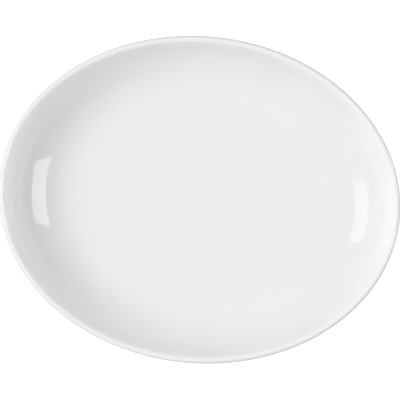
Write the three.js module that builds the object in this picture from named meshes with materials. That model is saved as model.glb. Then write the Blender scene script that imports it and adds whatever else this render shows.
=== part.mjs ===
// Oval plate: one pressed piece of glazed white porcelain with a deep well, a rounded lip and a foot ring.
// Millimetres, +Z up. The origin lies on the standing plane under the middle of the plate, and +X runs along its length.
// One section, the same all the way round, is carried along an oval: its points are measured inwards from the oval.
import * as THREE from "three";

// Driving dimensions
const PLATE_LENGTH = 320; // over the lip, along X
const PLATE_WIDTH = 260; // over the lip, along Y
const WELL_DEPTH = 35; // top of the lip down to the floor
const FLOOR_THICKNESS = 5.5;
const LIP_THICKNESS = 5.4; // the lip is a full round
const WALL_ANGLE = 66; // degrees that the inner wall rises from the floor
const WALL_TAPER = 1.5; // degrees that the outer wall is steeper, so the wall thickens downwards
const WELL_RADIUS = 42; // hollow curve from the wall into the floor
const FOOT_RECESS = 3.5; // standing plane up to the underside of the floor
const FOOT_WIDTH = 5.5; // across the foot ring
const FOOT_SETBACK = 3; // foot ring's outer face, outside the edge of the flat floor
const FOOT_EDGE = 1; // round on both edges of the foot ring
const FOOT_FILLET = 2; // hollow where the foot ring grows out of the plate

// Facets
const AROUND = 84; // round the oval
const WELL_STEPS = 10;
const LIP_STEPS = { inside: 3, outside: 4, under: 2 };
const OUTER_STEPS = 8;
const FOOT_FILLET_STEPS = 3;
const FOOT_EDGE_STEPS = 2;
const SAME_POINT = 0.01; // two arcs that end this close share one point

const GLAZE_WHITE = 0xededed;
const GLAZE_ROUGHNESS = 0.06;

const QUARTER = Math.PI / 2;
const DOWN = 3 * QUARTER;

const floorTop = FOOT_RECESS + FLOOR_THICKNESS;
const plateHeight = floorTop + WELL_DEPTH;
const innerLean = THREE.MathUtils.degToRad(WALL_ANGLE);
const outerLean = THREE.MathUtils.degToRad(WALL_ANGLE + WALL_TAPER);

// The section's arcs. X is the inset from the oval, Y is the height.

const lip = {
  radius: LIP_THICKNESS / 2,
  centre: new THREE.Vector2(LIP_THICKNESS / 2, plateHeight - LIP_THICKNESS / 2),
};

// Where the inner wall leaves the lip
const wallTop = new THREE.Vector2(Math.sin(innerLean), Math.cos(innerLean)).multiplyScalar(lip.radius).add(lip.centre);

// The curve into the floor is tangent to the wall, and no taller than the wall.
function wellCurve() {
  const tallest = (wallTop.y - floorTop) / (1 - Math.cos(innerLean));
  const radius = Math.min(WELL_RADIUS, tallest);
  const curveTop = floorTop + radius * (1 - Math.cos(innerLean));
  const wallRun = (wallTop.y - curveTop) / Math.tan(innerLean);
  const floorEdge = wallTop.x + wallRun + radius * Math.sin(innerLean);
  return { radius, centre: new THREE.Vector2(floorEdge, floorTop + radius) };
}

// The outer curve is tangent to the outer wall and level with the underside where the flat floor begins.
function outerCurve(floorEdge) {
  const sine = Math.sin(outerLean);
  const cosine = Math.cos(outerLean);
  const lipReach = lip.radius - lip.centre.x * sine - lip.centre.y * cosine;
  const radius = (lipReach + floorEdge * sine + FOOT_RECESS * cosine) / (1 - cosine);
  return { radius, centre: new THREE.Vector2(floorEdge, FOOT_RECESS + radius) };
}

// The foot ring's fillets leave room for the rounds on its edges.
function footRing(well, outer) {
  const outerFace = well.centre.x - FOOT_SETBACK;
  const innerFace = outerFace + FOOT_WIDTH;
  const edge = Math.min(FOOT_EDGE, FOOT_WIDTH / 2, FOOT_RECESS / 2);
  const fillet = Math.min(FOOT_FILLET, FOOT_RECESS - edge);
  const shoulderX = outerFace - fillet;
  const shoulderDrop = Math.sqrt((outer.radius + fillet) ** 2 - (outer.centre.x - shoulderX) ** 2);
  return {
    edge,
    fillet,
    shoulder: new THREE.Vector2(shoulderX, outer.centre.y - shoulderDrop),
    outerEdge: new THREE.Vector2(outerFace + edge, edge),
    innerEdge: new THREE.Vector2(innerFace - edge, edge),
    ceiling: new THREE.Vector2(innerFace + fillet, FOOT_RECESS - fillet),
  };
}

function arcPoints(centre, radius, from, to, steps) {
  return new THREE.EllipseCurve(centre.x, centre.y, radius, radius, from, to, to < from).getPoints(steps);
}

// From the edge of the floor, up the wall, over the lip, down the outside, under the foot and into the recess
function sectionPoints() {
  const well = wellCurve();
  const outer = outerCurve(well.centre.x);
  const foot = footRing(well, outer);
  const towardsShoulder = foot.shoulder.clone().sub(outer.centre);
  const shoulderAngle = DOWN + Math.atan2(towardsShoulder.x, -towardsShoulder.y);
  const points = [
    ...arcPoints(well.centre, well.radius, DOWN, DOWN - innerLean, WELL_STEPS),
    ...arcPoints(lip.centre, lip.radius, QUARTER - innerLean, QUARTER, LIP_STEPS.inside),
    ...arcPoints(lip.centre, lip.radius, QUARTER, Math.PI, LIP_STEPS.outside),
    ...arcPoints(lip.centre, lip.radius, Math.PI, DOWN - outerLean, LIP_STEPS.under),
    ...arcPoints(outer.centre, outer.radius, DOWN - outerLean, shoulderAngle, OUTER_STEPS),
    ...arcPoints(foot.shoulder, foot.fillet, shoulderAngle - Math.PI, 0, FOOT_FILLET_STEPS),
    ...arcPoints(foot.outerEdge, foot.edge, Math.PI, DOWN, FOOT_EDGE_STEPS),
    ...arcPoints(foot.innerEdge, foot.edge, DOWN, 2 * Math.PI, FOOT_EDGE_STEPS),
    ...arcPoints(foot.ceiling, foot.fillet, Math.PI, QUARTER, FOOT_FILLET_STEPS),
  ];
  return points.filter((point, i) => i === 0 || point.distanceTo(points[i - 1]) > SAME_POINT);
}

// The oval drawn in by the inset, so that the wall and lip are equally thick at the ends and the sides
function ovalRing(inset, height) {
  const halfLength = PLATE_LENGTH / 2;
  const halfWidth = PLATE_WIDTH / 2;
  return Array.from({ length: AROUND }, (_, k) => {
    const turn = (2 * Math.PI * k) / AROUND;
    const outwards = new THREE.Vector2(halfWidth * Math.cos(turn), halfLength * Math.sin(turn)).normalize();
    return new THREE.Vector3(
      halfLength * Math.cos(turn) - inset * outwards.x,
      halfWidth * Math.sin(turn) - inset * outwards.y,
      height,
    );
  });
}

// A closed solid through the rings: the first ring bounds the floor and the last one the underside.
function loft(rings) {
  const vertices = rings.flat();
  const triangles = [];
  const at = (ring, k) => ring * AROUND + (k % AROUND);
  const last = rings.length - 1;
  const floorMiddle = vertices.push(new THREE.Vector3(0, 0, rings[0][0].z)) - 1;
  const undersideMiddle = vertices.push(new THREE.Vector3(0, 0, rings[last][0].z)) - 1;
  for (let k = 0; k < AROUND; k++) {
    triangles.push(floorMiddle, at(0, k), at(0, k + 1));
    triangles.push(undersideMiddle, at(last, k + 1), at(last, k));
    for (let ring = 0; ring < last; ring++) {
      triangles.push(at(ring, k), at(ring + 1, k), at(ring, k + 1));
      triangles.push(at(ring, k + 1), at(ring + 1, k), at(ring + 1, k + 1));
    }
  }
  const geometry = new THREE.BufferGeometry().setFromPoints(vertices).setIndex(triangles);
  geometry.computeVertexNormals();
  return geometry;
}

function makePlate() {
  const rings = sectionPoints().map((point) => ovalRing(point.x, point.y));
  const glaze = new THREE.MeshStandardMaterial({ color: GLAZE_WHITE, roughness: GLAZE_ROUGHNESS, metalness: 0 });
  const plate = new THREE.Mesh(loft(rings), glaze);
  plate.name = "plate";
  return plate;
}

const ovalPlate = new THREE.Group();
ovalPlate.name = "oval_plate";
ovalPlate.add(makePlate());

export default ovalPlate;
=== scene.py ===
import math

import bmesh
import bpy
from mathutils import Matrix, Vector


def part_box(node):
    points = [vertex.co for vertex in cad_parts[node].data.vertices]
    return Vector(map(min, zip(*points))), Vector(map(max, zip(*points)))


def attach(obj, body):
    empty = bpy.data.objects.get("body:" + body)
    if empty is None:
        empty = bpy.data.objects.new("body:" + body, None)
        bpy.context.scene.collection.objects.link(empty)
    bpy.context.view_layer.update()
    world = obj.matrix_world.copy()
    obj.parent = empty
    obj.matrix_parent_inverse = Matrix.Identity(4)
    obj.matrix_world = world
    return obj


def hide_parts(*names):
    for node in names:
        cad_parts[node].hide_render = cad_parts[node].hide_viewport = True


# White oval plate of glazed porcelain. Metres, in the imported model's frame: +X along the plate, +Z up.

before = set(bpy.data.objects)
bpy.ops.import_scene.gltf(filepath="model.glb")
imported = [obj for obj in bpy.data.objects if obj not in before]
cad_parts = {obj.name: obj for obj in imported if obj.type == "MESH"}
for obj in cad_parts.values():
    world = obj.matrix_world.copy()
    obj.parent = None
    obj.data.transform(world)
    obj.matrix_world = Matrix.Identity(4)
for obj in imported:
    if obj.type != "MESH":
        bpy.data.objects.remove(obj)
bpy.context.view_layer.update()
print("Frame loaded")


def plateBox():
    # Lowest and highest corner of the plate in the frame
    low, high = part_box("plate")
    return Vector(low), Vector(high)


# Shader maths

class Value:
    # A socket in an expression: each operator adds a Math node
    def __init__(self, finish, socket):
        self.finish = finish
        self.socket = socket

    def __add__(self, other):
        return self.finish.math("ADD", self, other)

    def __radd__(self, other):
        return self.finish.math("ADD", other, self)

    def __sub__(self, other):
        return self.finish.math("SUBTRACT", self, other)

    def __rsub__(self, other):
        return self.finish.math("SUBTRACT", other, self)

    def __mul__(self, other):
        return self.finish.math("MULTIPLY", self, other)

    def __rmul__(self, other):
        return self.finish.math("MULTIPLY", other, self)


class Finish:
    # The node tree of a material or of the world
    def __init__(self, owner):
        owner.use_nodes = True
        self.tree = owner.node_tree
        self.tree.nodes.clear()

    def node(self, kind, settings=None, sockets=None, output=0):
        made = self.tree.nodes.new(kind)
        for name, setting in (settings or {}).items():
            setattr(made, name, setting)
        for name, given in (sockets or {}).items():
            socket = next(s for s in made.inputs if name in (s.identifier, s.name))
            if isinstance(given, Value):
                self.tree.links.new(given.socket, socket)
            else:
                socket.default_value = given
        return Value(self, made.outputs[output]) if made.outputs else made

    def math(self, operation, first, second):
        return self.node("ShaderNodeMath", {"operation": operation}, {"Value": first, "Value_001": second})

    def vectorMath(self, operation, sockets, output=0):
        return self.node("ShaderNodeVectorMath", {"operation": operation}, sockets, output)

    def part(self, vector, axis):
        # One of a vector's three numbers
        return self.node("ShaderNodeSeparateXYZ", None, {"Vector": vector}, axis)

    def ramp(self, value, start, stop):
        # 0 before start, 1 after stop, smooth between them
        span = {"Value": value, "From Min": start, "From Max": stop}
        return self.node("ShaderNodeMapRange", {"interpolation_type": "SMOOTHSTEP"}, span)

    def mixColour(self, mask, first, second):
        sockets = {"Factor_Float": mask, "A_Color": first, "B_Color": second}
        return self.node("ShaderNodeMix", {"data_type": "RGBA"}, sockets, "Result")

    def noise(self, place, size, detail):
        # Cloudy values from 0 to 1, with lumps about as wide as size
        sockets = {"Vector": place, "Scale": 1 / size, "Detail": detail}
        return self.node("ShaderNodeTexNoise", None, sockets, "Fac")


# Plate

plateShape = {
    "lipThickness": 0.0054,  # the lip is a full round
    "wallAngle": 66,  # degrees that the inner wall rises from the floor
    "wallTaper": 1.5,  # degrees that the outer wall is steeper
    "wellRadius": 0.042,  # hollow curve from the wall into the floor
    "floorThickness": 0.0055,
    "footRecess": 0.0035,  # standing plane up to the underside
    "footWidth": 0.0055,
    "footSetback": 0.003,  # foot ring's outer face, outside the edge of the flat floor
    "footEdge": 0.001,  # round on both edges of the foot ring
    "footFillet": 0.002,
    "footDraft": 0.00002,  # lean of the foot ring's two faces, so that it leaves the mould
    "blankDepth": 0.00002,  # of the thin disc that the plate is drawn from
    "segments": 288,  # round the oval
    "lipSteps": 18,
    "wellSteps": 48,
    "lipUnderSteps": 8,
    "outerSteps": 30,
    "footSteps": 6,  # in each round of the foot ring
    "floorRings": 6,
}


def arc(centre, radius, start, stop, steps):
    # Section points on a round, from one angle to another in degrees
    turns = [math.radians(start + (stop - start) * k / steps) for k in range(steps + 1)]
    return [Vector((centre.x + radius * math.cos(t), centre.y + radius * math.sin(t))) for t in turns]


def plateSection(shape, height):
    # Two runs of points from the widest line of the lip, X inwards and Y up: over the top, and underneath
    lipRadius = shape["lipThickness"] / 2
    lipCentre = Vector((lipRadius, height - lipRadius))
    lean = shape["wallAngle"]
    floorTop = shape["footRecess"] + shape["floorThickness"]
    inside = arc(lipCentre, lipRadius, 180, 90 - lean, shape["lipSteps"])

    # The curve into the floor is tangent to the wall
    wellRadius = shape["wellRadius"]
    curveRise = wellRadius * (1 - math.cos(math.radians(lean)))
    wallRun = (inside[-1].y - floorTop - curveRise) / math.tan(math.radians(lean))
    floorEdge = inside[-1].x + wallRun + wellRadius * math.sin(math.radians(lean))
    wellCentre = Vector((floorEdge, floorTop + wellRadius))
    over = inside + arc(wellCentre, wellRadius, 270 - lean, 270, shape["wellSteps"])

    # The outer curve is tangent to the lip's outside and level with the underside
    outerLean = lean + shape["wallTaper"]
    sine = math.sin(math.radians(outerLean))
    cosine = math.cos(math.radians(outerLean))
    lipReach = lipRadius - lipCentre.x * sine - lipCentre.y * cosine
    outerRadius = (lipReach + floorEdge * sine + shape["footRecess"] * cosine) / (1 - cosine)
    outerCentre = Vector((floorEdge, shape["footRecess"] + outerRadius))

    # Foot ring: a fillet, two rounded edges and a fillet into the recess
    edge = shape["footEdge"]
    fillet = shape["footFillet"]
    draft = shape["footDraft"]
    footOutside = floorEdge - shape["footSetback"]
    footInside = footOutside + shape["footWidth"]
    shoulder = Vector((footOutside - fillet - draft, 0))
    reach = outerCentre.x - shoulder.x
    shoulder.y = outerCentre.y - math.sqrt((outerRadius + fillet) ** 2 - reach ** 2)
    shoulderTurn = 270 - math.degrees(math.asin(reach / (outerRadius + fillet)))
    outerEdge = Vector((footOutside + edge, edge))
    innerEdge = Vector((footInside - edge, edge))
    ceiling = Vector((footInside + fillet + draft, shape["footRecess"] - fillet))

    under = arc(lipCentre, lipRadius, 180, 270 - outerLean, shape["lipUnderSteps"])
    under += arc(outerCentre, outerRadius, 270 - outerLean, shoulderTurn, shape["outerSteps"])[1:]
    under += arc(shoulder, fillet, shoulderTurn - 180, 0, shape["footSteps"])[1:]
    under += arc(outerEdge, edge, 180, 270, shape["footSteps"])
    under += arc(innerEdge, edge, 270, 360, shape["footSteps"])
    under += arc(ceiling, fillet, 180, 90, shape["footSteps"])
    return over, under


def drawIn(bm, cap, distance):
    bmesh.ops.inset_region(bm, faces=[cap], thickness=distance, use_even_offset=True, use_boundary=True)


def followSection(bm, cap, section):
    # Draws the cap in and moves it up or down, one ring for each point of the section
    for here, there in zip(section, section[1:]):
        drawIn(bm, cap, there.x - here.x)
        bmesh.ops.translate(bm, verts=cap.verts, vec=(0, 0, there.y - cap.calc_center_median().z))


def closeFlat(bm, cap, room, rings):
    # Fills a flat oval with rings and a fan; past the room its rings would cross at the ends
    for _ in range(rings):
        drawIn(bm, cap, room / (rings + 1))
    bmesh.ops.poke(bm, faces=[cap])


def makePlate(shape):
    low, high = plateBox()
    size = high - low
    over, under = plateSection(shape, size.z)
    endRadius = size.y ** 2 / (2 * size.x)  # of the oval, at its two ends
    widest = (low + high) / 2
    widest.z = over[0].y

    # A thin oval disc: its upper cap becomes the inside and its lower cap the underside
    bm = bmesh.new()
    blank = Matrix.Translation(widest) @ Matrix.Diagonal((size.x, size.y, 1, 1))
    bmesh.ops.create_cone(bm, cap_ends=True, segments=shape["segments"], radius1=0.5, radius2=0.5,
                          depth=shape["blankDepth"], matrix=blank)
    caps = sorted((f for f in bm.faces if len(f.verts) > 4), key=lambda f: f.calc_center_median().z)
    for cap, section in zip(caps, (under, over)):
        followSection(bm, cap, section)
        closeFlat(bm, cap, endRadius - section[-1].x, shape["floorRings"])
    bmesh.ops.recalc_face_normals(bm, faces=bm.faces)
    for face in bm.faces:
        face.smooth = True

    mesh = bpy.data.meshes.new("oval_plate")
    bm.to_mesh(mesh)
    bm.free()
    plate = bpy.data.objects.new("oval_plate", mesh)
    bpy.context.scene.collection.objects.link(plate)
    return plate


# Porcelain

porcelainLook = {
    "white": (0.865, 0.865, 0.863, 1),
    "cloud": (0.855, 0.856, 0.855, 1),  # faint clouds in the glaze
    "cloudSize": 0.045,
    "cloudSpan": (0.35, 0.7),  # of the noise: none, and full
    "cloudDulling": 0.02,  # roughness that a cloud adds
    "edgeShade": (0.735, 0.735, 0.73, 1),  # painted shade: a darker band on the outer edge of the lip
    "edgeShadeWidth": (0.0010, 0.0022),  # from the oval inwards: full, and faded out
    "edgeShadeDrop": (0.0036, 0.0056),  # from the top down: full, and faded out
    "pooled": (0.80, 0.815, 0.81, 1),  # glaze that ran into the hollows of the foot
    "pooledTop": 0.0045,
    "clay": (0.77, 0.745, 0.70, 1),  # bare standing face
    "flash": (0.66, 0.57, 0.47, 1),  # thin warm line where the glaze ends
    "flashWidth": 0.0006,
    "flashStrength": 0.6,
    "glazeLine": 0.0008,  # height where the glaze ends
    "glazeEdge": 0.0001,  # how soft that end is, to each side
    "wander": 0.0005,  # how far the glaze line strays
    "wanderSize": 0.012,
    "gloss": 0.035,  # roughness of the glaze
    "matte": 0.85,  # roughness of the clay
    "grainSize": 0.0004,  # of the clay
    "rippleSize": 0.020,  # slow waves in the glaze
    "rippleDepth": 0.5,
    "dimpleSize": 0.004,  # and small ones
    "dimpleDepth": 0.05,
    "reliefHeight": 0.0002,
    "reliefStrength": 0.2,
    "glazeIor": 1.56,
    "translucence": 0.5,
    "translucentDepth": 0.003,
}


def glazeClouds(finish, place, look):
    return finish.ramp(finish.noise(place, look["cloudSize"], detail=3), *look["cloudSpan"])


def paintedEdgeShade(finish, place, height, look):
    # Painted shade: 1 on the outer edge of the lip, by the inset from the oval and the drop from the top
    low, high = plateBox()
    size = high - low
    toOval = {"Vector": place, "Vector_001": (2 / size.x, 2 / size.y, 0)}
    reach = finish.vectorMath("LENGTH", {"Vector": finish.vectorMath("MULTIPLY", toOval)}, "Value")
    meanRadius = (size.x + size.y) / 4
    nearEdge = 1 - finish.ramp((1 - reach) * meanRadius, *look["edgeShadeWidth"])
    nearTop = 1 - finish.ramp(high.z - height, *look["edgeShadeDrop"])
    return nearEdge * nearTop


def porcelainRelief(finish, place, glazed, look):
    ripple = finish.noise(place, look["rippleSize"], detail=1) * look["rippleDepth"]
    dimples = finish.noise(place, look["dimpleSize"], detail=2) * look["dimpleDepth"]
    grain = finish.noise(place, look["grainSize"], detail=4)
    return (ripple + dimples) * glazed + grain * (1 - glazed)


def porcelain(look):
    material = bpy.data.materials.new("glazed_porcelain")
    finish = Finish(material)
    place = finish.node("ShaderNodeTexCoord", output="Object")
    height = finish.part(place, "Z")
    line = look["glazeLine"]
    edge = look["glazeEdge"]
    strayed = height + (finish.noise(place, look["wanderSize"], detail=2) - 0.5) * look["wander"]
    glazed = finish.ramp(strayed, line - edge, line + edge)
    flash = glazed * (1 - finish.ramp(strayed, line, line + look["flashWidth"]))
    pooled = 1 - finish.ramp(height, line, look["pooledTop"])
    clouds = glazeClouds(finish, place, look)

    colour = finish.mixColour(clouds, look["white"], look["cloud"])
    # Painted shade darkens the outer edge of the lip
    colour = finish.mixColour(paintedEdgeShade(finish, place, height, look), colour, look["edgeShade"])
    colour = finish.mixColour(pooled, colour, look["pooled"])
    colour = finish.mixColour(flash * look["flashStrength"], colour, look["flash"])
    colour = finish.mixColour(glazed, look["clay"], colour)
    glazeRoughness = look["gloss"] + clouds * look["cloudDulling"]
    roughness = look["matte"] + glazed * (glazeRoughness - look["matte"])
    normal = finish.node("ShaderNodeBump", None, {
        "Strength": look["reliefStrength"], "Distance": look["reliefHeight"],
        "Height": porcelainRelief(finish, place, glazed, look)})

    surface = finish.node("ShaderNodeBsdfPrincipled", None, {
        "Base Color": colour, "Roughness": roughness, "Normal": normal, "IOR": look["glazeIor"],
        "Subsurface Weight": look["translucence"], "Subsurface Radius": (1, 1, 1),
        "Subsurface Scale": look["translucentDepth"]})
    finish.node("ShaderNodeOutputMaterial", None, {"Surface": surface})
    return material


# Floor

floorLook = {
    "halfSize": 40,
    "colour": (0.5, 0.5, 0.5, 1),
    "glow": 0.8,  # what the camera and reflections see on top of the light that falls on it
}


def floorFinish(look):
    material = bpy.data.materials.new("floor")
    finish = Finish(material)
    seen = finish.node("ShaderNodeLightPath", output="Is Camera Ray")
    for ray in ("Is Glossy Ray", "Is Transmission Ray"):
        seen = seen + finish.node("ShaderNodeLightPath", output=ray)
    surface = finish.node("ShaderNodeBsdfPrincipled", None, {
        "Base Color": look["colour"], "Roughness": 1, "Specular IOR Level": 0,
        "Emission Color": seen, "Emission Strength": look["glow"]})
    finish.node("ShaderNodeOutputMaterial", None, {"Surface": surface})
    return material


def makeFloor(look):
    bm = bmesh.new()
    bmesh.ops.create_grid(bm, x_segments=1, y_segments=1, size=look["halfSize"])
    mesh = bpy.data.meshes.new("floor")
    bm.to_mesh(mesh)
    bm.free()
    mesh.materials.append(floorFinish(look))
    floor = bpy.data.objects.new("floor", mesh)
    bpy.context.scene.collection.objects.link(floor)


# Softboxes: azimuth turns from +X, facing is how far the box looks down, and size is across and up.
# Light is the radiance that falls on the plate, and shine the radiance that its glaze mirrors.

softboxes = {
    "left_box": {"azimuth": 182.5, "elevation": 44.2, "distance": 2.05, "facing": 21,
                 "size": (1.03, 1.23), "light": 7.15, "shine": 1.7},
    "right_box": {"azimuth": 5, "elevation": 49.4, "distance": 1.82, "facing": 18,
                  "size": (0.91, 1.18), "light": 3.85, "shine": 3.25},
}
shineGap = 0.05  # the mirrored sheet hangs this far in front of the lamp


def direction(azimuth, elevation):
    rise = Matrix.Rotation(math.radians(-elevation), 3, "Y")
    turn = Matrix.Rotation(math.radians(azimuth), 3, "Z")
    return turn @ rise @ Vector((1, 0, 0))


def addLamp(name, place, outwards, size, radiance):
    light = bpy.data.lights.new(name, "AREA")
    light.shape = "RECTANGLE"
    light.size, light.size_y = size
    light.energy = radiance * math.pi * size[0] * size[1]
    lamp = bpy.data.objects.new(name, light)
    lamp.location = place
    lamp.rotation_euler = outwards.to_track_quat("Z", "Y").to_euler()
    bpy.context.scene.collection.objects.link(lamp)
    return lamp


def addSoftbox(name, azimuth, elevation, distance, facing, size, light, shine):
    place = direction(azimuth, elevation) * distance
    outwards = direction(azimuth, facing)
    addLamp(name, place, outwards, size, light).visible_glossy = False
    addLamp(name + "_shine", place - outwards * shineGap, outwards, size, shine).visible_diffuse = False


# Studio: plain light from all round. The table and the room are seen in the glaze alone and light nothing.
# Their edges are parts of a direction: its rise, from 0 level to 1 upright, and its side, 1 at the right.

studioLight = {
    "even": 0.26,
    "low": 0.47,  # more towards the horizon
    "left": 0.36,  # more from the upper left
    "table": 1.0,  # white table, low on the right
    "tableEdge": (0.105, 0.135),  # rise where the table ends
    "room": 0.02,  # dark room behind the table
    "roomTop": (0.45, 0.8),  # rise where the room fades into the plain light
    "roomSide": (0.2, 0.8),  # side where the room and the table begin, and are full
}


def lightWorld(look):
    world = bpy.data.worlds.new("studio")
    finish = Finish(world)
    towards = finish.node("ShaderNodeTexCoord", output="Generated")
    along = finish.part(towards, "X")
    rise = finish.math("MAXIMUM", finish.part(towards, "Z"), 0)
    left = finish.math("MAXIMUM", -1 * along, 0)
    low = 1 - rise
    plain = left * rise * look["left"] + low * low * look["low"] + look["even"]

    mirrored = finish.node("ShaderNodeLightPath", output="Is Glossy Ray")
    side = mirrored * finish.ramp(along, *look["roomSide"]) * (1 - finish.ramp(rise, *look["roomTop"]))
    pastTable = finish.ramp(rise, *look["tableEdge"])
    inGlaze = look["table"] - pastTable * (look["table"] - look["room"])
    level = plain + side * (inGlaze - plain)
    background = finish.node("ShaderNodeBackground", None, {"Color": level})
    finish.node("ShaderNodeOutputWorld", None, {"Surface": background})
    bpy.context.scene.world = world


# Camera, straight above the plate

photoView = {
    "imageSize": 400,  # pixels
    "plateCentre": (199.28, 199.71),  # pixels
    "halfLength": 201.46,  # pixels
    "turn": 5.74,  # degrees clockwise in the picture
    "distance": 1.3,  # above the widest line of the lip
    "sensor": 36,  # millimetres
}


def addCamera(view):
    low, high = plateBox()
    pixel = (high.x - low.x) / 2 / view["halfLength"]
    lens = bpy.data.cameras.new("camera")
    lens.sensor_width = view["sensor"]
    lens.lens = view["sensor"] * view["distance"] / (view["imageSize"] * pixel)
    camera = bpy.data.objects.new("camera", lens)
    turn = Matrix.Rotation(math.radians(view["turn"]), 4, "Z")
    middle = view["imageSize"] / 2
    offset = Vector((middle - view["plateCentre"][0], view["plateCentre"][1] - middle, 0)) * pixel
    widest = high.z - plateShape["lipThickness"] / 2
    camera.matrix_world = turn @ Matrix.Translation(offset + Vector((0, 0, widest + view["distance"])))
    bpy.context.scene.collection.objects.link(camera)
    bpy.context.scene.camera = camera


plate = makePlate(plateShape)
plate.data.materials.append(porcelain(porcelainLook))
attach(plate, "root")
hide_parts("plate")
print("Plate made:", len(plate.data.vertices), "points")

makeFloor(floorLook)
for boxName, box in softboxes.items():
    addSoftbox(boxName, **box)
lightWorld(studioLight)
print("Floor laid and lamps hung")

addCamera(photoView)
bpy.context.scene.view_settings.view_transform = "Standard"
print("Camera set")
